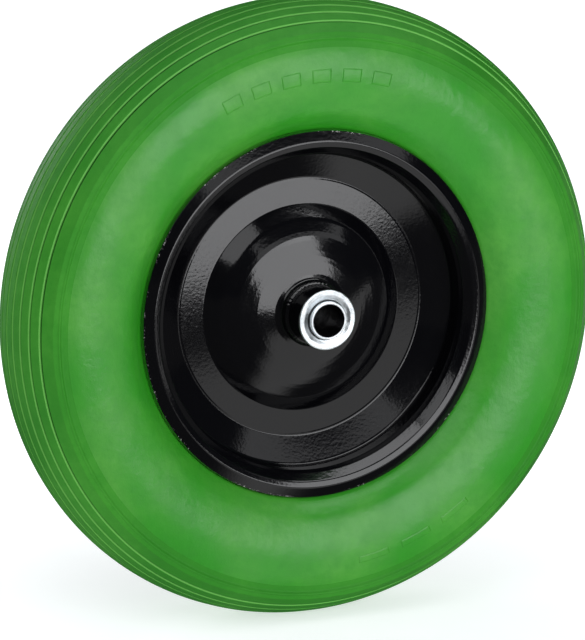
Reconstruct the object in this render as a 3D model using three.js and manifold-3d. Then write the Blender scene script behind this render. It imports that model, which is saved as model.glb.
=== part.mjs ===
// A flat-free wheelbarrow wheel: a solid polyurethane tyre on a rim of two pressed steel halves,
// a hub tube welded between them, and a flanged needle-roller bearing in each end of the tube.
//
// Units are millimetres. The wheel turns about Y, its outer face looks towards -Y, and Z is up.
// The origin is the wheel's centre. Every outline is a list of [radius, along] points, where
// along is the distance from the wheel's middle plane, towards the side that the piece is on.

import * as THREE from "three";
import { mergeVertices } from "three/addons/utils/BufferGeometryUtils.js";
import Module from "manifold-3d";

// Driving dimensions.
const TYRE_RADIUS = 195;
const SHOULDER_ALONG = 39; // where the tread ends and the sidewall begins
const CROWN_ROUNDNESS = 90; // the tread falls by along squared over this
const GROOVE_PITCH = 7;
const GROOVES_PER_SIDE = 5;
const GROOVE_WIDTH = 2.6;
const GROOVE_DEPTH = 2.6;
const RIM_RADIUS = 115.4;
const RIM_ALONG = 27.6; // the flange's outer edge
const CREST_RADIUS = 108; // where the flange rolls over
const CREST_ALONG = 31.6;
const SEAT_RADIUS = 99.6; // inside of the bead seat
const JOINT_OUTER_RADIUS = 80.3; // flat ring where the two rim halves meet
const JOINT_INNER_RADIUS = 65.5;
const NECK_END = 23.2; // along, where the rim meets its weld
const SHEET = 1.6;
const GAP = 0.3; // between touching pieces
const TUBE_RADIUS = 18;
const TUBE_BORE = 16;
const TUBE_HALF_LENGTH = 42.3;
const AXLE_BORE = 10.2; // for a 20 mm axle
const RING_RADIUS = 12; // outside of the bearing's inner ring
const RING_FACE = 46.2; // the inner ring's outer end face, from the middle plane
const RING_BACK = 24.9;
const CUP_RADIUS = TUBE_BORE - GAP;
const RACE_RADIUS = 14.7; // inside of the bearing's cup
const FLANGE_RADIUS = 18.9;
const FLANGE_FACE = 44.1;
const ROLLERS = 12;
const ROLLER_RADIUS = 1.2;
const ROLLER_LENGTH = 12;
const ROLLER_MIDDLE = 34.2; // along, at the middle of the rollers
const RUNNING_GAP = 0.3; // round each roller in its cage pocket

// Which way along runs on each side of the wheel.
const SIDES = { front: -1, back: 1 };
const LARGE_SEGMENTS = 40;
const SMALL_SEGMENTS = 32;
const ROLLER_SEGMENTS = 10;

const wasm = await Module();
wasm.setup();

const materials = {
  tyre: new THREE.MeshStandardMaterial({ color: 0x419635, roughness: 0.55 }),
  paint: new THREE.MeshStandardMaterial({ color: 0x16161a, roughness: 0.35 }),
  zinc: new THREE.MeshStandardMaterial({ color: 0xc4c8d0, roughness: 0.35, metalness: 1 }),
  steel: new THREE.MeshStandardMaterial({ color: 0xb4b6ba, roughness: 0.25, metalness: 1 }),
  cage: new THREE.MeshStandardMaterial({ color: 0x2a2a2c, roughness: 0.6 }),
};

const wheel = new THREE.Group();

// Twice the area inside an outline, positive when it runs anticlockwise.
function windingOf(points) {
  return points.reduce((sum, point, i) => {
    const next = points[(i + 1) % points.length];
    return sum + point.x * next.y - next.x * point.y;
  }, 0);
}

// The solid of revolution of an outline about the Y axis, closed on itself.
function turnedGeometry(outline, side, segments) {
  const points = outline.map(([radius, along]) => new THREE.Vector2(radius, side * along));
  if (windingOf(points) < 0) points.reverse();
  points.push(points[0].clone());
  return new THREE.LatheGeometry(points, segments);
}

function addMesh(name, geometry, material) {
  const mesh = new THREE.Mesh(geometry, material);
  mesh.name = name;
  wheel.add(mesh);
  return mesh;
}

function turned(name, outline, material, side, segments) {
  return addMesh(name, turnedGeometry(outline, side, segments), material);
}

// The outline of a bent sheet, from the line of its visible face and its thickness.
function sheetOutline(face, thickness) {
  const normals = face.slice(1).map(([radius, along], i) => {
    const step = new THREE.Vector2(radius - face[i][0], along - face[i][1]).normalize();
    return new THREE.Vector2(-step.y, step.x);
  });
  const hidden = face.map(([radius, along], i) => {
    const before = normals[Math.max(i - 1, 0)];
    const after = normals[Math.min(i, normals.length - 1)];
    const mitre = before.clone().add(after).normalize();
    const reach = thickness / mitre.dot(after);
    return [radius + mitre.x * reach, along + mitre.y * reach];
  });
  return [...face, ...hidden.reverse()];
}

// Tyre: a crowned tread with rings of V grooves, bulging sidewalls, and beads between the flanges.
function crownRadius(along) {
  return TYRE_RADIUS - along ** 2 / CROWN_ROUNDNESS;
}

function grooveAt(middle) {
  const left = middle - GROOVE_WIDTH / 2;
  const right = middle + GROOVE_WIDTH / 2;
  return [
    [crownRadius(left), left],
    [crownRadius(middle) - GROOVE_DEPTH, middle],
    [crownRadius(right), right],
  ];
}

function tyreHalfOutline() {
  const grooves = Array.from({ length: GROOVES_PER_SIDE }, (_, i) =>
    grooveAt((i + 0.5) * GROOVE_PITCH),
  ).flat();
  const sidewall = [
    [174.2, 41],
    [156, 42.4],
    [136, 39.4],
    [122, 32.4],
    [RIM_RADIUS + 1, RIM_ALONG - 0.2],
  ];
  const bead = [
    [RIM_RADIUS + 1, RIM_ALONG - SHEET - 1],
    [CREST_RADIUS, CREST_ALONG - SHEET - 1.4],
    [SEAT_RADIUS + SHEET + 1, 22],
  ];
  return [...grooves, [crownRadius(SHOULDER_ALONG), SHOULDER_ALONG], ...sidewall, ...bead];
}

function addTyre() {
  const half = tyreHalfOutline();
  const mirrored = half.map(([radius, along]) => [radius, -along]).reverse();
  turned("tyre", [...half, ...mirrored], materials.tyre, SIDES.front, LARGE_SEGMENTS);
}

// Rim half: a rolled flange, a bead seat, the flat ring that meets the other half, and a dome with a
// neck round the hub tube.
function addRimHalf(sideName) {
  const jointFace = SHEET + GAP;
  const neckRadius = TUBE_RADIUS + GAP + SHEET;
  const face = [
    [RIM_RADIUS, RIM_ALONG],
    [CREST_RADIUS, CREST_ALONG],
    [SEAT_RADIUS + 1.2, 24.4],
    [SEAT_RADIUS, 22.4],
    [SEAT_RADIUS, 8.6],
    [95.4, 4.6],
    [84, 3],
    [JOINT_OUTER_RADIUS, jointFace],
    [JOINT_INNER_RADIUS, jointFace],
    [56, 9.5],
    [50, 12],
    [40, 15],
    [26, 17.2],
    [neckRadius, 19.6],
    [neckRadius, NECK_END],
  ];
  const outline = sheetOutline(face, SHEET);
  turned("rim_half_" + sideName, outline, materials.paint, SIDES[sideName], LARGE_SEGMENTS);
}

// Weld bead: a fillet ring on the neck's end, round the hub tube.
function addWeldBead(sideName) {
  const inner = TUBE_RADIUS + GAP;
  const foot = NECK_END + GAP;
  const outline = [
    [inner, foot],
    [inner + 2.2, foot],
    [inner + 1.8, foot + 1.6],
    [inner, foot + 2.6],
  ];
  turned("weld_bead_" + sideName, outline, materials.paint, SIDES[sideName], LARGE_SEGMENTS);
}

function addHubTube() {
  const outline = [
    [TUBE_BORE, -TUBE_HALF_LENGTH],
    [TUBE_RADIUS, -TUBE_HALF_LENGTH],
    [TUBE_RADIUS, TUBE_HALF_LENGTH],
    [TUBE_BORE, TUBE_HALF_LENGTH],
  ];
  turned("hub_tube", outline, materials.paint, SIDES.front, LARGE_SEGMENTS);
}

// Bearing cup: a drawn shell with a dished flange outside and a turned-in lip inside.
function addBearingCup(sideName) {
  const flangeBack = TUBE_HALF_LENGTH + GAP;
  const flangeBore = RING_RADIUS + 0.4;
  const lipBore = RING_RADIUS + 0.6;
  const outline = [
    [FLANGE_RADIUS, flangeBack],
    [FLANGE_RADIUS, FLANGE_FACE - 0.5],
    [FLANGE_RADIUS - 0.6, FLANGE_FACE],
    [14.2, FLANGE_FACE - 0.2],
    [flangeBore, FLANGE_FACE - 0.8],
    [flangeBore, flangeBack - 0.4],
    [RACE_RADIUS, flangeBack - 0.4],
    [RACE_RADIUS, 26.2],
    [lipBore, 26.2],
    [lipBore, 25.2],
    [CUP_RADIUS, 25.2],
    [CUP_RADIUS, flangeBack],
  ];
  turned("bearing_cup_" + sideName, outline, materials.zinc, SIDES[sideName], SMALL_SEGMENTS);
}

function addInnerRing(sideName) {
  const chamfer = 0.3;
  const outline = [
    [AXLE_BORE, RING_BACK],
    [RING_RADIUS, RING_BACK],
    [RING_RADIUS, RING_FACE - chamfer],
    [RING_RADIUS - chamfer, RING_FACE],
    [AXLE_BORE + chamfer, RING_FACE],
    [AXLE_BORE, RING_FACE - chamfer],
  ];
  turned("inner_ring_" + sideName, outline, materials.zinc, SIDES[sideName], SMALL_SEGMENTS);
}

// Spacer sleeve: keeps the two inner rings apart when the axle's nuts clamp them.
function addSpacerSleeve() {
  const end = RING_BACK - GAP;
  const outline = [
    [AXLE_BORE + 0.2, -end],
    [RING_RADIUS, -end],
    [RING_RADIUS, end],
    [AXLE_BORE + 0.2, end],
  ];
  turned("spacer_sleeve", outline, materials.steel, SIDES.front, SMALL_SEGMENTS);
}

// Rollers and their cage, on the pitch circle midway between the inner ring and the cup.
const PITCH_RADIUS = (RING_RADIUS + RACE_RADIUS) / 2;

function rollerAngle(index) {
  return (index / ROLLERS) * 2 * Math.PI;
}

function solidOf(geometry) {
  const plain = geometry.clone();
  plain.deleteAttribute("normal");
  plain.deleteAttribute("uv");
  const merged = mergeVertices(plain, 1e-4);
  const vertProperties = new Float32Array(merged.attributes.position.array);
  const triVerts = new Uint32Array(merged.index.array);
  return new wasm.Manifold(new wasm.Mesh({ numProp: 3, vertProperties, triVerts }));
}

function geometryOf(solid) {
  const mesh = solid.getMesh();
  const geometry = new THREE.BufferGeometry();
  geometry.setAttribute("position", new THREE.BufferAttribute(mesh.vertProperties, 3));
  geometry.setIndex(new THREE.BufferAttribute(mesh.triVerts, 1));
  geometry.computeVertexNormals();
  return geometry;
}

function cagePocket(index, side) {
  const width = 2 * (ROLLER_RADIUS + RUNNING_GAP);
  const reach = RACE_RADIUS - RING_RADIUS;
  const pocket = new THREE.BoxGeometry(width, ROLLER_LENGTH + 2 * RUNNING_GAP, reach);
  pocket.translate(0, side * ROLLER_MIDDLE, PITCH_RADIUS);
  return pocket.rotateY(rollerAngle(index));
}

function addCage(sideName) {
  const side = SIDES[sideName];
  const halfLength = ROLLER_LENGTH / 2 + 1.4;
  const ring = [
    [RING_RADIUS + 0.5, ROLLER_MIDDLE - halfLength],
    [RACE_RADIUS - 0.5, ROLLER_MIDDLE - halfLength],
    [RACE_RADIUS - 0.5, ROLLER_MIDDLE + halfLength],
    [RING_RADIUS + 0.5, ROLLER_MIDDLE + halfLength],
  ];
  let cage = solidOf(turnedGeometry(ring, side, SMALL_SEGMENTS));
  for (let i = 0; i < ROLLERS; i++) cage = cage.subtract(solidOf(cagePocket(i, side)));
  addMesh("roller_cage_" + sideName, geometryOf(cage), materials.cage);
}

function addRollers(sideName) {
  const shape = new THREE.CylinderGeometry(
    ROLLER_RADIUS,
    ROLLER_RADIUS,
    ROLLER_LENGTH,
    ROLLER_SEGMENTS,
  );
  for (let i = 0; i < ROLLERS; i++) {
    const name = "roller_" + sideName + "_" + String(i + 1).padStart(2, "0");
    const roller = addMesh(name, shape, materials.steel);
    const angle = rollerAngle(i);
    roller.position.set(
      PITCH_RADIUS * Math.sin(angle),
      SIDES[sideName] * ROLLER_MIDDLE,
      PITCH_RADIUS * Math.cos(angle),
    );
    roller.rotation.y = angle;
  }
}

addTyre();
addHubTube();
addSpacerSleeve();
for (const sideName of Object.keys(SIDES)) {
  addRimHalf(sideName);
  addWeldBead(sideName);
  addBearingCup(sideName);
  addInnerRing(sideName);
  addCage(sideName);
  addRollers(sideName);
}

export default wheel;
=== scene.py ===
"""A flat-free wheelbarrow wheel on a pale studio floor.

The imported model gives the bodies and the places. Each of its faceted pieces is replaced by a
smooth one with rounded edges. Outlines are lists of (radius, along) points in millimetres, where
along is the distance from the wheel's middle plane, towards the side that the piece is on.
"""

import math

import bpy
import numpy as np
from mathutils import Matrix, Vector, noise


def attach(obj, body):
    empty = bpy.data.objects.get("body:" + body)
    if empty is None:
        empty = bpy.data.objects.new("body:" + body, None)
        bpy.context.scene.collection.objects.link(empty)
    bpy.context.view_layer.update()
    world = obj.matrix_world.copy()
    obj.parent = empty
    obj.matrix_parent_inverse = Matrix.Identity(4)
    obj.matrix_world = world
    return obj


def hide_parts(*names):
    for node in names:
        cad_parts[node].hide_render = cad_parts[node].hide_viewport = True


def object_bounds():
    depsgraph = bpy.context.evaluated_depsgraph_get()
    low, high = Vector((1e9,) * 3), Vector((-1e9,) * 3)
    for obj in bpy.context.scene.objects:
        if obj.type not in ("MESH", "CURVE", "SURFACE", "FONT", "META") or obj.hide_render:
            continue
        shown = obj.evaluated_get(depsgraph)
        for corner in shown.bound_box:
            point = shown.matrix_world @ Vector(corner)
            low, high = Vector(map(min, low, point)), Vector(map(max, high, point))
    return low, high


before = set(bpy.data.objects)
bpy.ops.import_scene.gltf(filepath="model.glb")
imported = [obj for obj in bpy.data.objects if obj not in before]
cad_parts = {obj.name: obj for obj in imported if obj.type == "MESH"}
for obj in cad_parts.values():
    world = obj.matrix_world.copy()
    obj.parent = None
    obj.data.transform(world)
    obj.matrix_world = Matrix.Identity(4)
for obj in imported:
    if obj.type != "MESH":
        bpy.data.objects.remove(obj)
cad_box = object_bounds()

MM = 0.001
SIDES = {"front": -1, "back": 1}

# Driving sizes, in millimetres.
TYRE_RADIUS = 195.0
CROWN_ROUNDNESS = 90.0
SHOULDER_ALONG = 39.0
SIDEWALL_RADIUS = 169.0
GROOVE_PITCH = 7.0
GROOVES_PER_SIDE = 5
GROOVE_WIDTH = 2.0
GROOVE_DEPTH = 2.6
RIM_RADIUS = 115.4
RIM_ALONG = 28.6
CREST_RADIUS = 107.8
CREST_ALONG = 31.6
SEAT_RADIUS = 99.6
JOINT_OUTER_RADIUS = 80.4
JOINT_INNER_RADIUS = 65.5
JOINT_ALONG = 1.9
SHEET = 1.6
NECK_RADIUS = 19.9
NECK_END = 23.2
WELD_RIPPLES = 46
TUBE_RADIUS = 18.0
TUBE_BORE = 16.0
TUBE_HALF_LENGTH = 42.3
AXLE_BORE = 10.2
RING_RADIUS = 12.0
RING_FACE = 46.2
RING_BACK = 24.9
RACE_RADIUS = 14.7
CUP_RADIUS = 15.7
FLANGE_RADIUS = 18.9
FLANGE_FACE = 44.1
ROLLERS = 12
ROLLER_RADIUS = 1.2
ROLLER_LENGTH = 12.0
ROLLER_MIDDLE = 34.2

# How finely each piece is turned.
LARGE_TURN = 288
HUB_TURN = 144
ROLLER_TURN = 24
ARC_STEP = math.radians(12)
LEAST_TURN = 1e-3  # radians; a smaller bend in an outline is left unrounded
SUPPORT = 0.25  # distance of the loops that keep flats flat beside an arc

# Base colours.
SIDEWALL_GREENS = ((0.017, 0.190, 0.009), (0.048, 0.236, 0.022), (0.012, 0.165, 0.006))
# The tread's greens are darker than the sidewall's: painted shade.
SHADED_TREAD_GREENS = ((0.016, 0.160, 0.007), (0.030, 0.195, 0.013), (0.011, 0.140, 0.005))
# A painted highlight on the groove walls by the rib edges, and painted shade on the groove floors.
PAINTED_HIGHLIGHT_GREEN = (0.15, 0.44, 0.09)
PAINTED_GROOVE_SHADE = (0.002, 0.035, 0.002)
BLACK_PAINT = (0.0015, 0.0015, 0.0022)
BARE_STEEL = (0.62, 0.62, 0.60)
ZINC_GREYS = ((0.60, 0.64, 0.66), (0.80, 0.84, 0.87))
DARK_STEEL_GREYS = ((0.030, 0.029, 0.034), (0.016, 0.015, 0.019))
NYLON_GREYS = ((0.018, 0.018, 0.020), (0.034, 0.034, 0.036))
PAPER_GREYS = ((0.54, 0.55, 0.56), (0.56, 0.57, 0.58))
COOL_WHITE = (0.97, 0.99, 1.0)


# ---------------------------------------------------------------- outlines

def arc_at(before, corner, after, radius):
    """The points that round off one corner of an outline."""
    before, corner, after = (np.array(p, float) for p in (before, corner, after))
    into, out = corner - before, after - corner
    reach_in, reach_out = np.linalg.norm(into), np.linalg.norm(out)
    into, out = into / reach_in, out / reach_out
    turn = math.atan2(into[0] * out[1] - into[1] * out[0], float(into @ out))
    if abs(turn) < LEAST_TURN or radius <= 0:
        return [tuple(corner)]
    tangent = min(radius * math.tan(abs(turn) / 2), 0.48 * reach_in, 0.48 * reach_out)
    radius = tangent / math.tan(abs(turn) / 2)
    left = np.array((-into[1], into[0])) * math.copysign(1, turn)
    centre = corner - into * tangent + left * radius
    start = corner - into * tangent - centre
    steps = max(2, math.ceil(abs(turn) / ARC_STEP))
    points = []
    for i in range(steps + 1):
        angle = turn * i / steps
        c, s = math.cos(angle), math.sin(angle)
        points.append(tuple(centre + (c * start[0] - s * start[1], s * start[0] + c * start[1])))
    return points


def with_support(points, closed):
    """Adds a point near each end of every long straight step."""
    result = []
    count = len(points)
    for i in range(count):
        here = np.array(points[i], float)
        result.append(tuple(here))
        if not closed and i == count - 1:
            break
        step = np.array(points[(i + 1) % count], float) - here
        length = np.linalg.norm(step)
        if length > 5 * SUPPORT:
            result.append(tuple(here + step * SUPPORT / length))
            result.append(tuple(here + step * (1 - SUPPORT / length)))
    return result


def rounded(corners, closed=True):
    """An outline from (radius, along, rounding) corners."""
    count = len(corners)
    points = []
    for i, (radius, along, rounding) in enumerate(corners):
        if not closed and i in (0, count - 1):
            points.append((radius, along))
            continue
        before, after = corners[i - 1][:2], corners[(i + 1) % count][:2]
        points += arc_at(before, (radius, along), after, rounding)
    return with_support(points, closed)


def sheet_outline(face, thickness):
    """The closed outline of a bent sheet, from the line of its visible face."""
    line = np.array(face, float)
    step = np.gradient(line, axis=0)
    step /= np.linalg.norm(step, axis=1)[:, None]
    hidden = line + thickness * np.stack((-step[:, 1], step[:, 0]), axis=1)
    return face + [tuple(p) for p in hidden[::-1]]


def winding(points):
    """Twice the area inside an outline, positive when it runs anticlockwise."""
    ring = np.array(points + points[:1], float)
    return float(np.sum(ring[:-1, 0] * ring[1:, 1] - ring[1:, 0] * ring[:-1, 1]))


# ---------------------------------------------------------------- meshes

def mesh_object(name, vertices, faces, smooth=True):
    mesh = bpy.data.meshes.new(name)
    mesh.from_pydata([tuple(v) for v in vertices], [], faces)
    mesh.validate()
    mesh.polygons.foreach_set("use_smooth", [smooth] * len(mesh.polygons))
    mesh.update()
    piece = bpy.data.objects.new(name, mesh)
    bpy.context.scene.collection.objects.link(piece)
    return piece


def turned(name, outline, side, count, shape=None):
    """A closed outline turned about the wheel's axis. shape(radius, along, angle) may bend it."""
    points = [(radius, side * along) for radius, along in outline]
    if winding(points) < 0:
        points.reverse()
    rows = len(points)
    vertices = []
    for i in range(count):
        angle = 2 * math.pi * i / count
        for radius, y in points:
            if shape:
                radius, y = shape(radius, y, angle)
            vertices.append((radius * MM * math.sin(angle), y * MM, radius * MM * math.cos(angle)))
    faces = []
    for i in range(count):
        here, there = i * rows, ((i + 1) % count) * rows
        for j in range(rows):
            k = (j + 1) % rows
            faces.append((here + j, there + j, there + k, here + k))
    return mesh_object(name, vertices, faces)


def install(piece, node, body, material):
    """Gives a piece its material and body, and hides the CAD node that it stands for."""
    piece.data.materials.clear()
    piece.data.materials.append(material)
    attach(piece, body)
    if node:
        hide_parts(node)
    return piece


# ---------------------------------------------------------------- materials

class Nodes:
    """Short calls for building one material's node tree."""

    def __init__(self, name):
        self.material = bpy.data.materials.new(name)
        self.material.use_nodes = True
        self.tree = self.material.node_tree
        self.shader = self.tree.nodes["Principled BSDF"]

    def add(self, kind, **values):
        node = self.tree.nodes.new(kind)
        for key, value in values.items():
            setattr(node, key, value)
        return node

    def link(self, source, target):
        self.tree.links.new(source, target)

    def place(self):
        """The point's place in the piece's own space, in metres."""
        return self.add("ShaderNodeTexCoord").outputs["Object"]

    def noise(self, scale, detail=2.0, roughness=0.5, vector=None):
        node = self.add("ShaderNodeTexNoise")
        node.inputs["Scale"].default_value = scale
        node.inputs["Detail"].default_value = detail
        node.inputs["Roughness"].default_value = roughness
        self.link(vector or self.place(), node.inputs["Vector"])
        return node.outputs["Fac"]

    def remap(self, value, low, high, new_low=0.0, new_high=1.0):
        node = self.add("ShaderNodeMapRange", interpolation_type="SMOOTHSTEP")
        for key, number in zip(("From Min", "From Max", "To Min", "To Max"), (low, high, new_low, new_high)):
            node.inputs[key].default_value = number
        self.link(value, node.inputs["Value"])
        return node.outputs["Result"]

    def math(self, operation, first, second=None):
        node = self.add("ShaderNodeMath", operation=operation)
        for socket, value in zip(node.inputs, (first, second)):
            if value is None:
                continue
            if isinstance(value, (int, float)):
                socket.default_value = value
            else:
                self.link(value, socket)
        return node.outputs[0]

    def mix(self, factor, first, second):
        node = self.add("ShaderNodeMix", data_type="RGBA")
        self.link(factor, node.inputs["Factor"])
        for socket, value in ((node.inputs["A"], first), (node.inputs["B"], second)):
            if isinstance(value, tuple):
                socket.default_value = value + (1.0,)
            else:
                self.link(value, socket)
        return node.outputs["Result"]

    def radius_and_along(self, axis="Y"):
        """Distance from one axis through the wheel's centre, and along that axis, in metres."""
        split = self.add("ShaderNodeSeparateXYZ")
        self.link(self.place(), split.inputs["Vector"])
        first, second = (split.outputs[name] for name in "XYZ" if name != axis)
        square = self.math("ADD", self.math("MULTIPLY", first, first), self.math("MULTIPLY", second, second))
        return self.math("SQRT", square), self.math("ABSOLUTE", split.outputs[axis])

    def bump(self, height, distance, strength=1.0, after=None):
        node = self.add("ShaderNodeBump")
        node.inputs["Distance"].default_value = distance
        node.inputs["Strength"].default_value = strength
        self.link(height, node.inputs["Height"])
        if after:
            self.link(after, node.inputs["Normal"])
        return node.outputs["Normal"]

    def set(self, **values):
        for key, value in values.items():
            socket = self.shader.inputs[key.replace("_", " ")]
            if isinstance(value, tuple):
                socket.default_value = value + (1.0,)
            elif isinstance(value, (int, float)):
                socket.default_value = value
            else:
                self.link(value, socket)


def foam_skin(name, greens, roughness, gloss):
    """Moulded foam in a plain, a cloudy and a stained green. Gives its node tree and its colour."""
    plain, cloudy, stained = greens
    n = Nodes(name)
    cloud = n.remap(n.noise(scale=13.0, detail=3.0), 0.35, 0.68)
    mottle = n.remap(n.noise(scale=55.0, detail=4.0, roughness=0.6), 0.35, 0.7)
    grain = n.remap(n.noise(scale=240.0, detail=4.0, roughness=0.7), 0.35, 0.7)
    stain = n.math("ADD", n.math("MULTIPLY", mottle, 0.35), n.math("MULTIPLY", grain, 0.25))
    colour = n.mix(stain, n.mix(cloud, plain, cloudy), stained)
    rough = n.remap(cloud, 0.0, 1.0, roughness, roughness + 0.10)
    rough = n.math("ADD", rough, n.remap(mottle, 0.0, 1.0, 0.0, 0.06))
    coarse = n.bump(n.noise(scale=160.0, detail=3.0), distance=0.6 * MM, strength=0.5)
    fine = n.bump(n.noise(scale=1400.0), distance=0.06 * MM, strength=0.5, after=coarse)
    n.set(Base_Color=colour, Roughness=rough, Normal=fine, Specular_IOR_Level=gloss)
    return n, colour


def tyre_foam():
    """The sidewalls' skin, satin."""
    n, _ = foam_skin("tyre_foam", SIDEWALL_GREENS, roughness=0.28, gloss=0.38)
    return n.material


def tread_foam():
    """The skin of the tread and shoulders, duller, in greens darker than the sidewall's as painted shade,
    with pale rib edges as a painted highlight and dark groove floors as painted shade.
    """
    n, colour = foam_skin("tread_foam", SHADED_TREAD_GREENS, roughness=0.5, gloss=0.16)
    radius, along = n.radius_and_along()
    fall = n.math("MULTIPLY", n.math("MULTIPLY", along, along), 1 / (CROWN_ROUNDNESS * MM))
    depth = n.math("SUBTRACT", TYRE_RADIUS * MM, n.math("ADD", radius, fall))
    above_shoulder = n.remap(radius, 175.2 * MM, 176.0 * MM)
    grooved = n.math("MULTIPLY", above_shoulder, n.remap(along, 36.0 * MM, 37.0 * MM, 1.0, 0.0))
    # Pale groove walls just under the rib edges: a painted highlight.
    highlight_starts = n.remap(depth, 0.2 * MM, 0.6 * MM)
    highlight_ends = n.remap(depth, 0.9 * MM, 1.4 * MM, 0.7, 0.0)
    edge = n.math("MULTIPLY", highlight_starts, highlight_ends)
    colour = n.mix(n.math("MULTIPLY", grooved, edge), colour, PAINTED_HIGHLIGHT_GREEN)
    # Dark groove floors: painted shade.
    floor = n.remap(depth, 1.2 * MM, 2.0 * MM, 0.0, 0.95)
    colour = n.mix(n.math("MULTIPLY", grooved, floor), colour, PAINTED_GROOVE_SHADE)
    n.set(Base_Color=colour)
    return n.material


def rim_paint():
    """Glossy black powder coat with orange peel, chipped to bare steel along the flange's edge."""
    n = Nodes("rim_paint")
    radius, _ = n.radius_and_along()
    edge = n.remap(radius, 114.2 * MM, 115.0 * MM)
    spots = n.remap(n.noise(scale=520.0, detail=4.0, roughness=0.7), 0.56, 0.60)
    patches = n.remap(n.noise(scale=30.0), 0.52, 0.64)
    chipped = n.math("MULTIPLY", n.math("MULTIPLY", edge, spots), patches)
    dust = n.remap(n.noise(scale=95.0, detail=5.0, roughness=0.65), 0.45, 0.85, 0.0, 0.05)
    rough = n.math("ADD", n.remap(chipped, 0.0, 1.0, 0.10, 0.45), dust)
    peel = n.bump(n.noise(scale=560.0, detail=1.5, roughness=0.45), distance=0.04 * MM)
    n.set(Base_Color=n.mix(chipped, BLACK_PAINT, BARE_STEEL), Roughness=rough, Normal=peel)
    n.set(Metallic=chipped, Specular_IOR_Level=0.5)
    return n.material


def zinc_plate():
    """Bright zinc on pressed steel, with fine turning marks, darker inside the bore."""
    n = Nodes("zinc_plate")
    radius, along = n.radius_and_along()
    rings = n.add("ShaderNodeCombineXYZ")
    n.link(radius, rings.inputs["X"])
    n.link(along, rings.inputs["Y"])
    marks = n.noise(scale=5200.0, vector=rings.outputs["Vector"])
    spangle = n.remap(n.noise(scale=260.0, detail=3.0, roughness=0.6), 0.35, 0.7)
    bore = n.remap(radius, 10.3 * MM, 10.7 * MM, 1.0, 0.0)
    colour = n.mix(bore, n.mix(spangle, *ZINC_GREYS), DARK_STEEL_GREYS[0])
    rough = n.math("ADD", n.remap(spangle, 0.0, 1.0, 0.26, 0.38), n.remap(marks, 0.3, 0.7, 0.0, 0.06))
    turning = n.bump(marks, distance=0.02 * MM, strength=0.6)
    n.set(Base_Color=colour, Roughness=rough, Normal=turning, Metallic=1.0)
    return n.material


def dark_steel():
    """Ground steel in dark greys."""
    n = Nodes("dark_steel")
    blotches = n.remap(n.noise(scale=180.0, detail=4.0, roughness=0.6), 0.35, 0.7)
    rough = n.remap(blotches, 0.0, 1.0, 0.50, 0.70)
    grinding = n.bump(n.noise(scale=900.0), distance=0.01 * MM, strength=0.5)
    n.set(Base_Color=n.mix(blotches, *DARK_STEEL_GREYS), Roughness=rough, Normal=grinding, Metallic=1.0)
    return n.material


def cage_nylon():
    """Moulded dark nylon."""
    n = Nodes("cage_nylon")
    grain = n.remap(n.noise(scale=700.0, detail=3.0), 0.3, 0.7)
    rough = n.remap(grain, 0.0, 1.0, 0.45, 0.6)
    texture = n.bump(grain, distance=0.03 * MM, strength=0.5)
    n.set(Base_Color=n.mix(grain, *NYLON_GREYS), Roughness=rough, Normal=texture)
    return n.material


def lit_patches(n):
    """Where the floor looks bright to gloss: one patch in front of the wheel and one behind it."""
    split = n.add("ShaderNodeSeparateXYZ")
    n.link(n.place(), split.inputs["Vector"])
    x, y = split.outputs["X"], split.outputs["Y"]

    def beyond(along_x, along_y, start, end):
        distance = n.math("ADD", n.math("MULTIPLY", x, along_x), n.math("MULTIPLY", y, along_y))
        return n.remap(distance, start, end)

    left_edge = beyond(0.977, 0.215, -0.11, -0.03)
    near_edge = beyond(-0.545, -0.838, 0.045, 0.1)
    far_edge = beyond(0.43, 0.9, -0.53, -0.42)
    in_front = n.math("MULTIPLY", n.math("MULTIPLY", left_edge, near_edge), far_edge)
    behind = n.math("MULTIPLY", beyond(0.0, 1.0, 0.08, 0.2), beyond(1.0, 0.0, 0.0, 0.15))
    return n.math("MAXIMUM", in_front, n.math("MULTIPLY", behind, BEHIND_SHARE))


def floor_paper():
    """Pale studio paper, lit from below too. Diffuse rays see an even glow, and gloss the lit patches."""
    n = Nodes("floor_paper")
    fibre = n.remap(n.noise(scale=30.0, detail=4.0), 0.3, 0.7)
    from_wheel, _ = n.radius_and_along(axis="Z")
    n.set(Base_Color=n.mix(fibre, *PAPER_GREYS), Roughness=0.9)
    # The camera's view of the floor glows less near the wheel: a painted shadow round its foot, on top of
    # the real one.
    n.set(Emission_Color=COOL_WHITE, Emission_Strength=n.remap(from_wheel, 0.10, 0.5, 0.6, 1.0))
    path = n.add("ShaderNodeLightPath")
    for_gloss = n.remap(lit_patches(n), 0.0, 1.0, *FLOOR_GLOSS)
    for_diffuse = n.math("MULTIPLY", path.outputs["Is Diffuse Ray"], FLOOR_FILL)
    glow = n.add("ShaderNodeEmission")
    n.link(n.math("MAXIMUM", for_gloss, for_diffuse), glow.inputs["Strength"])
    choice = n.add("ShaderNodeMixShader")
    n.link(path.outputs["Is Camera Ray"], choice.inputs["Fac"])
    n.link(glow.outputs[0], choice.inputs[1])
    n.link(n.shader.outputs[0], choice.inputs[2])
    n.link(choice.outputs[0], n.tree.nodes["Material Output"].inputs["Surface"])
    return n.material


# ---------------------------------------------------------------- tyre

SIDEWALL_LINE = [
    (SIDEWALL_RADIUS + 0.6, 40.1),
    (165.6, 41.3),
    (160.6, 42.1),
    (153.0, 42.5),
    (145.0, 41.6),
    (136.0, 39.3),
    (128.0, 36.1),
    (122.5, 31.9),
    (118.6, 28.0),
    (RIM_RADIUS + 0.9, 26.0),
]
SIDEWALL_STEPS = 5  # points of the curve for each step of the line


def crown(along):
    """The tread's outer radius."""
    return TYRE_RADIUS - along ** 2 / CROWN_ROUNDNESS


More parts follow.
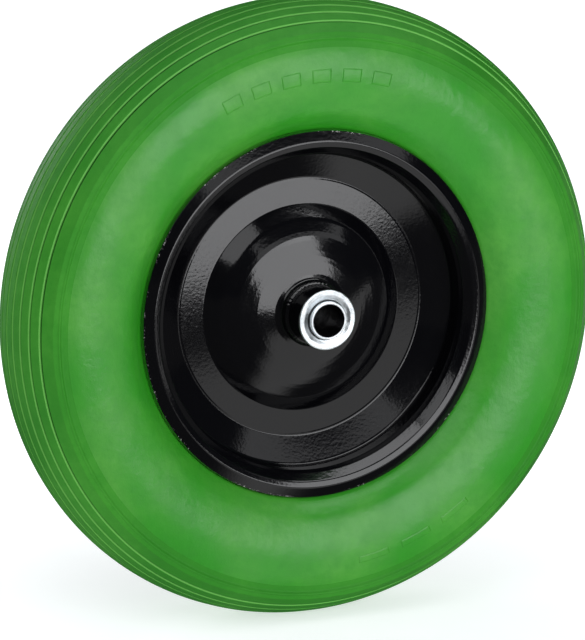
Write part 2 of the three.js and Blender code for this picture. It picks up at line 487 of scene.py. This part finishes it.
def groove_corners(middle):
    """One tread groove: two rounded rib edges and a narrower rounded floor."""
    half, floor_half = GROOVE_WIDTH / 2, GROOVE_WIDTH / 5
    floor = crown(middle) - GROOVE_DEPTH
    lean = middle / CROWN_ROUNDNESS * 2 * floor_half
    return [
        (crown(middle - half), middle - half, 0.2),
        (floor + lean, middle - floor_half, 0.2),
        (floor - lean, middle + floor_half, 0.2),
        (crown(middle + half), middle + half, 0.2),
    ]


def smooth_line(controls, count):
    """A Catmull-Rom curve through control points."""
    points = np.array([controls[0]] + list(controls) + [controls[-1]], float)
    result = []
    for i in range(len(controls) - 1):
        a, b, c, d = points[i : i + 4]
        for j in range(count):
            t = j / count
            blend = (2 * b) + (c - a) * t + (2 * a - 5 * b + 4 * c - d) * t ** 2
            result.append(tuple((blend + (3 * b - a - 3 * c + d) * t ** 3) / 2))
    return result + [tuple(points[-1])]


def tyre_half():
    """Half of the tyre's outline, from the middle of the tread to the bead."""
    corners = []
    for i in range(GROOVES_PER_SIDE):
        corners += groove_corners((i + 0.5) * GROOVE_PITCH)
    corners += [
        (crown(SHOULDER_ALONG), SHOULDER_ALONG, 0.6),
        (175.6, 39.9, 0.5),
        (174.6, 40.9, 0.7),
        (172.9, 39.4, 1.6),
    ]
    tread = rounded([(crown(0), 0, 0)] + corners + [SIDEWALL_LINE[0] + (0,)], closed=False)[1:]
    wall = smooth_line(SIDEWALL_LINE, SIDEWALL_STEPS)
    seat = SEAT_RADIUS + SHEET + 1.0
    bead = rounded([
        SIDEWALL_LINE[-1] + (0,),
        (RIM_RADIUS + 0.4, 25.0, 0.4),
        (SEAT_RADIUS + 7.0, 24.2, 1.0),
        (seat, 20.5, 2.0),
        (seat, 0, 0),
    ], closed=False)[1:-1]
    return tread[:-1] + wall + bead


def make_tyre(material, tread_material):
    half = tyre_half()
    outline = half + [(radius, -along) for radius, along in reversed(half)]
    piece = turned("tyre_skin", outline, SIDES["front"], LARGE_TURN)
    install(piece, "tyre", "wheel", material)
    piece.data.materials.append(tread_material)
    centres = np.empty(3 * len(piece.data.polygons))
    piece.data.polygons.foreach_get("center", centres)
    beyond_sidewall = np.hypot(centres[0::3], centres[2::3]) > SIDEWALL_RADIUS * MM
    piece.data.polygons.foreach_set("material_index", beyond_sidewall.astype(np.int32))


def sidewall():
    """The sidewall's radii, smallest first, and how far out it stands at each."""
    return np.array(sorted(point for point in tyre_half() if 120 < point[0] < 172 and point[1] > 28)).T


MARK_CELLS = 16
MARK_EDGE = 0.9  # width of a mark's sloping edge
MARK_RISE = 0.45
MARK_SINK = 0.12  # how far its rim lies under the sidewall
MARK_ROOT = 0.6  # how far it reaches into the tyre

# Name, count, first clock angle, step between marks, radius, width and height.
MARK_ROWS = [
    ("size_mark", 6, -24.0, 7.6, 152.0, 13.0, 9.0),
    ("notice_mark", 3, 146.0, 11.0, 157.0, 22.0, 5.0),
]


def make_mark(name, wall, clock, radius, size, side_name, material):
    """A low raised bar on the sidewall, lying along the wheel's turn."""
    width, height = size
    vertices = []
    for i in range(MARK_CELLS + 1):
        for j in range(MARK_CELLS + 1):
            across, up = width * (i / MARK_CELLS - 0.5), height * (j / MARK_CELLS - 0.5)
            inside = min(width / 2 - abs(across), height / 2 - abs(up)) / MARK_EDGE
            slope = min(max(inside, 0), 1)
            lift = MARK_RISE * slope * slope * (3 - 2 * slope) - MARK_SINK
            r = radius + up
            angle = math.radians(clock) + across / radius
            y = SIDES[side_name] * (float(np.interp(r, *wall)) + lift)
            vertices.append((r * MM * math.sin(angle), y * MM, r * MM * math.cos(angle)))
    row = MARK_CELLS + 1
    corners = [i * row + j for i in range(MARK_CELLS) for j in range(MARK_CELLS)]
    faces = [(k, k + row, k + row + 1, k + 1) for k in corners]
    if SIDES[side_name] > 0:
        faces = [tuple(reversed(face)) for face in faces]
    piece = mesh_object(name, vertices, faces)
    root = piece.modifiers.new("root", "SOLIDIFY")
    root.thickness = MARK_ROOT * MM
    root.offset = -1
    install(piece, None, "wheel", material)


def make_marks(material):
    """Plain bars where a maker would mould a size and a notice."""
    wall = sidewall()
    for side_name in SIDES:
        for label, count, first, step, radius, width, height in MARK_ROWS:
            for i in range(count):
                name = "%s_%s_%d" % (label, side_name, i + 1)
                make_mark(name, wall, first + step * i, radius, (width, height), side_name, material)


# ---------------------------------------------------------------- rim and hub

def rim_face():
    """The rim half's visible face, from the flange's edge to the end of the neck."""
    return rounded([
        (RIM_RADIUS, RIM_ALONG, 0),
        (CREST_RADIUS + 1.0, CREST_ALONG - 0.6, 2.5),
        (CREST_RADIUS - 2.6, CREST_ALONG - 1.8, 2.0),
        (SEAT_RADIUS + 1.4, 24.4, 2.0),
        (SEAT_RADIUS, 21.0, 2.0),
        (SEAT_RADIUS - 0.3, 10.4, 3.0),
        (JOINT_OUTER_RADIUS + 1.4, JOINT_ALONG, 2.0),
        (JOINT_OUTER_RADIUS, JOINT_ALONG + 0.4, 0.5),
        (JOINT_INNER_RADIUS, JOINT_ALONG + 0.9, 2.0),
        (56.8, 8.8, 12.0),
        (47.0, 13.0, 40.0),
        (35.0, 16.2, 60.0),
        (23.8, 17.9, 6.0),
        (NECK_RADIUS, 19.2, 3.0),
        (NECK_RADIUS, NECK_END, 0),
    ], closed=False)


def make_rim_half(side_name, material):
    outline = sheet_outline(rim_face(), SHEET)
    piece = turned("rim_skin_" + side_name, outline, SIDES[side_name], LARGE_TURN)
    install(piece, "rim_half_" + side_name, "wheel", material)


def make_weld_bead(side_name, material):
    """A rippled fillet of weld round the tube."""
    inner, foot = TUBE_RADIUS + 0.1, NECK_END + 0.1
    outline = rounded([
        (inner, foot, 0),
        (NECK_RADIUS + 0.3, foot, 0.4),
        (NECK_RADIUS + 0.2, foot + 1.4, 0.9),
        (inner + 0.9, foot + 2.4, 0.9),
        (inner, foot + 2.8, 0.1),
    ])

    def ripple(radius, y, angle):
        swell = max(radius - inner, 0) / 3
        wave = 0.16 * math.sin(WELD_RIPPLES * angle + 0.8 * math.sin(5 * angle))
        lump = 0.35 * noise.noise(Vector((3 * math.sin(angle), 3 * math.cos(angle), y * 0.2)))
        return radius + swell * (wave + lump), y

    piece = turned("weld_skin_" + side_name, outline, SIDES[side_name], 2 * LARGE_TURN, ripple)
    install(piece, "weld_bead_" + side_name, "wheel", material)


def make_hub_tube(material):
    outline = rounded([
        (TUBE_BORE, -TUBE_HALF_LENGTH, 0.3),
        (TUBE_RADIUS, -TUBE_HALF_LENGTH, 0.5),
        (TUBE_RADIUS, TUBE_HALF_LENGTH, 0.5),
        (TUBE_BORE, TUBE_HALF_LENGTH, 0.3),
    ])
    piece = turned("hub_tube_skin", outline, SIDES["front"], HUB_TURN)
    install(piece, "hub_tube", "wheel", material)


# ---------------------------------------------------------------- bearings

def make_cup(side_name, material):
    """A drawn shell with a dished flange outside and a turned-in lip inside."""
    flange_back = TUBE_HALF_LENGTH + 0.1
    flange_bore = RING_RADIUS + 0.7
    flange_inside = flange_back - 0.4
    lip_bore = RING_RADIUS + 0.6
    lip_face, lip_back = 26.2, 25.2
    outline = rounded([
        (FLANGE_RADIUS, flange_back, 0.4),
        (FLANGE_RADIUS, FLANGE_FACE, 0.8),
        (15.6, FLANGE_FACE - 0.1, 2.0),
        (13.6, FLANGE_FACE - 0.9, 1.2),
        (flange_bore, FLANGE_FACE - 1.1, 0.25),
        (flange_bore, flange_inside, 0.2),
        (RACE_RADIUS, flange_inside, 0.4),
        (RACE_RADIUS, lip_face, 0.4),
        (lip_bore, lip_face, 0.2),
        (lip_bore, lip_back, 0.2),
        (CUP_RADIUS, lip_back, 0.8),
        (CUP_RADIUS, flange_back, 0.3),
    ])
    piece = turned("bearing_cup_skin_" + side_name, outline, SIDES[side_name], HUB_TURN)
    install(piece, "bearing_cup_" + side_name, "wheel", material)


def make_inner_ring(side_name, material):
    outline = rounded([
        (AXLE_BORE, RING_BACK, 0.2),
        (RING_RADIUS, RING_BACK, 0.2),
        (RING_RADIUS, RING_FACE, 0.5),
        (AXLE_BORE, RING_FACE, 0.35),
    ])
    piece = turned("inner_ring_skin_" + side_name, outline, SIDES[side_name], HUB_TURN)
    install(piece, "inner_ring_" + side_name, "axle_side", material)


def make_sleeve(material):
    """The tube that keeps the two inner rings apart."""
    end = RING_BACK - 0.1
    bore = AXLE_BORE + 0.2
    outline = rounded([
        (bore, -end, 0.2),
        (RING_RADIUS, -end, 0.3),
        (RING_RADIUS, end, 0.3),
        (bore, end, 0.2),
    ])
    piece = turned("spacer_sleeve_skin", outline, SIDES["front"], HUB_TURN)
    install(piece, "spacer_sleeve", "axle_side", material)


def roller_places(side_name):
    """Each roller's number and the middle of its axis."""
    pitch = (RING_RADIUS + RACE_RADIUS) / 2
    for i in range(ROLLERS):
        angle = 2 * math.pi * i / ROLLERS
        middle = Vector((pitch * math.sin(angle), SIDES[side_name] * ROLLER_MIDDLE, pitch * math.cos(angle)))
        yield i + 1, middle * MM


def make_rollers(side_name, material):
    half = ROLLER_LENGTH / 2
    pinhole = 0.02  # a turned outline stays off its own axis
    outline = rounded([
        (pinhole, -half, 0),
        (ROLLER_RADIUS, -half, 0.3),
        (ROLLER_RADIUS, half, 0.3),
        (pinhole, half, 0),
    ])
    for number, middle in roller_places(side_name):
        name = "roller_%s_%02d" % (side_name, number)
        piece = turned(name + "_skin", outline, SIDES["front"], ROLLER_TURN)
        piece.data.transform(Matrix.Translation(middle))
        install(piece, name, "cage_" + side_name, material)


def make_cage(side_name, material):
    """Two end rings joined by bars between the rollers, cut from one sleeve of squares."""
    gap, end_gap, overhang, bevel_width = 0.5, 0.3, 1.4, 0.15
    inner, outer = RING_RADIUS + gap, RACE_RADIUS - gap
    half = ROLLER_LENGTH / 2
    rows = [-half - overhang, -half - end_gap, half + end_gap, half + overhang]
    per_roller, open_columns = 12, 5
    count = ROLLERS * per_roller
    vertices, index = [], {}

    def corner(column, row, radius):
        key = (column % count, row, radius)
        if key not in index:
            angle = 2 * math.pi * (column - open_columns / 2) / count
            index[key] = len(vertices)
            y = SIDES[side_name] * (ROLLER_MIDDLE + rows[row])
            vertices.append((radius * MM * math.sin(angle), y * MM, radius * MM * math.cos(angle)))
        return index[key]

    def solid(column, row):
        is_end = row != 1
        return 0 <= row < len(rows) - 1 and (is_end or column % per_roller >= open_columns)

    faces = []
    for column in range(count):
        for row in range(len(rows) - 1):
            if not solid(column, row):
                continue
            around = [(column, row), (column + 1, row), (column + 1, row + 1), (column, row + 1)]
            outside = [corner(c, r, outer) for c, r in around]
            inside = [corner(c, r, inner) for c, r in around]
            faces.append(outside)
            faces.append(inside[::-1])
            neighbours = [(column, row - 1), (column + 1, row), (column, row + 1), (column - 1, row)]
            for k, place in enumerate(neighbours):
                if not solid(*place):
                    m = (k + 1) % 4
                    faces.append((outside[m], outside[k], inside[k], inside[m]))
    if SIDES[side_name] < 0:
        faces = [tuple(reversed(face)) for face in faces]
    piece = mesh_object("roller_cage_skin_" + side_name, vertices, faces, smooth=False)
    bevel = piece.modifiers.new("edges", "BEVEL")
    bevel.width = bevel_width * MM
    bevel.segments = 2
    install(piece, "roller_cage_" + side_name, "cage_" + side_name, material)


# ---------------------------------------------------------------- camera, light and floor

CAMERA_AZIMUTH = math.radians(-23.5)
CAMERA_ELEVATION = math.radians(12.55)
CAMERA_DISTANCE = 3.149
FOCAL_LENGTH = 285.0
SHIFT = (-0.0101, -0.0219)
SENSOR_WIDTH = 36.0
LAMP_COLOUR = (0.975, 0.98, 1.0)
FILL_DIRECTION = (0.2, -0.97, -0.1)
FILL_RANGE = {"From Min": -0.2, "From Max": 0.9, "To Min": 0.25, "To Max": 1.1}
GLOSS_COLOUR = (0.9, 0.95, 1.0)
GLOSS_STRENGTH = 0.03
FLOOR_FILL = 1.7  # what diffuse rays see of the floor
FLOOR_GLOSS = (0.06, 0.88)  # what gloss sees of it, off and on the lit patches
BEHIND_SHARE = 0.7  # how bright the patch behind the wheel is beside the one in front
FLOOR_HALF = 6.0
UPPER_PLACE = (0.05, -0.13, 0.62)
UPPER_SIZE = (0.9, 0.46)
UPPER_RADIANCE = 3.2

# Name, azimuth, elevation, distance, roll, size and radiance, in degrees and metres.
SOFTBOXES = [
    ("front_softbox", 13, 5.9, 1.0, 16, (0.65, 0.595), 4.0),
    ("header_softbox", 20, 24.5, 1.1, 0, (1.1, 0.19), 0.9),
    ("left_softbox", -48, 39, 1.2, 0, (0.95, 0.6), 1.8),
    ("back_softbox", -150, 18, 1.4, 0, (1.1, 0.9), 3.0),
]


def toward(azimuth, elevation):
    """The direction from the wheel to a place round it; azimuth 0 is straight in front."""
    flat = math.cos(elevation)
    return Vector((math.sin(azimuth) * flat, -math.cos(azimuth) * flat, math.sin(elevation)))


def make_camera():
    data = bpy.data.cameras.new("camera")
    data.lens = FOCAL_LENGTH
    data.sensor_width = SENSOR_WIDTH
    data.shift_x, data.shift_y = SHIFT
    camera = bpy.data.objects.new("camera", data)
    back = toward(CAMERA_AZIMUTH, CAMERA_ELEVATION)
    camera.location = back * CAMERA_DISTANCE
    camera.rotation_euler = back.to_track_quat("Z", "Y").to_euler()
    bpy.context.scene.collection.objects.link(camera)
    bpy.context.scene.camera = camera


def facing_wheel(azimuth, elevation, distance, roll):
    """The place and the turn of something round the wheel that looks at it."""
    away = toward(math.radians(azimuth), math.radians(elevation))
    turn = away.to_track_quat("Z", "Y").to_matrix().to_4x4()
    return Matrix.Translation(away * distance) @ turn @ Matrix.Rotation(math.radians(roll), 4, "Z")


def make_softbox(name, place, size, radiance):
    data = bpy.data.lights.new(name, "AREA")
    data.shape = "RECTANGLE"
    data.size, data.size_y = size
    data.energy = radiance * math.pi * size[0] * size[1]
    data.color = LAMP_COLOUR
    lamp = bpy.data.objects.new(name, data)
    lamp.matrix_world = place
    bpy.context.scene.collection.objects.link(lamp)
    return lamp


def make_lights():
    for name, azimuth, elevation, distance, roll, size, radiance in SOFTBOXES:
        make_softbox(name, facing_wheel(azimuth, elevation, distance, roll), size, radiance)
    upper = make_softbox("upper_softbox", Matrix.Translation(UPPER_PLACE), UPPER_SIZE, UPPER_RADIANCE)
    upper.visible_diffuse = False


def make_world():
    """White for the camera, a soft fill from the front, and near black for what gloss reflects."""
    world = bpy.data.worlds.new("studio")
    world.use_nodes = True
    bpy.context.scene.world = world
    tree = world.node_tree

    def shade(colour, strength):
        node = tree.nodes.new("ShaderNodeBackground")
        node.inputs["Color"].default_value = colour + (1.0,)
        node.inputs["Strength"].default_value = strength
        return node

    def choose(factor, first, second):
        node = tree.nodes.new("ShaderNodeMixShader")
        tree.links.new(factor, node.inputs["Fac"])
        tree.links.new(first.outputs[0], node.inputs[1])
        tree.links.new(second.outputs[0], node.inputs[2])
        return node

    place = tree.nodes.new("ShaderNodeTexCoord")
    frontness = tree.nodes.new("ShaderNodeVectorMath")
    frontness.operation = "DOT_PRODUCT"
    frontness.inputs[1].default_value = FILL_DIRECTION
    tree.links.new(place.outputs["Generated"], frontness.inputs[0])
    amount = tree.nodes.new("ShaderNodeMapRange")
    for key, number in FILL_RANGE.items():
        amount.inputs[key].default_value = number
    tree.links.new(frontness.outputs["Value"], amount.inputs["Value"])
    fill = shade(COOL_WHITE, 1.0)
    tree.links.new(amount.outputs["Result"], fill.inputs["Strength"])
    path = tree.nodes.new("ShaderNodeLightPath")
    unseen = choose(path.outputs["Is Glossy Ray"], fill, shade(GLOSS_COLOUR, GLOSS_STRENGTH))
    seen = choose(path.outputs["Is Camera Ray"], unseen, shade((1.0, 1.0, 1.0), 1.0))
    tree.links.new(seen.outputs[0], tree.nodes["World Output"].inputs["Surface"])


def make_floor(material):
    half, level = FLOOR_HALF, cad_box[0].z
    corners = [(-half, -half, level), (half, -half, level), (half, half, level), (-half, half, level)]
    floor = mesh_object("floor", corners, [(0, 1, 2, 3)], smooth=False)
    floor.data.materials.append(material)


# ---------------------------------------------------------------- scene

make_camera()
make_world()
make_lights()
make_floor(floor_paper())
foam, paint, zinc, steel, nylon = tyre_foam(), rim_paint(), zinc_plate(), dark_steel(), cage_nylon()
make_tyre(foam, tread_foam())
make_marks(foam)
make_hub_tube(paint)
make_sleeve(steel)
for side_name in SIDES:
    make_rim_half(side_name, paint)
    make_weld_bead(side_name, paint)
    make_cup(side_name, zinc)
    make_inner_ring(side_name, zinc)
    make_rollers(side_name, steel)
    make_cage(side_name, nylon)

bpy.context.scene.view_settings.view_transform = "Standard"
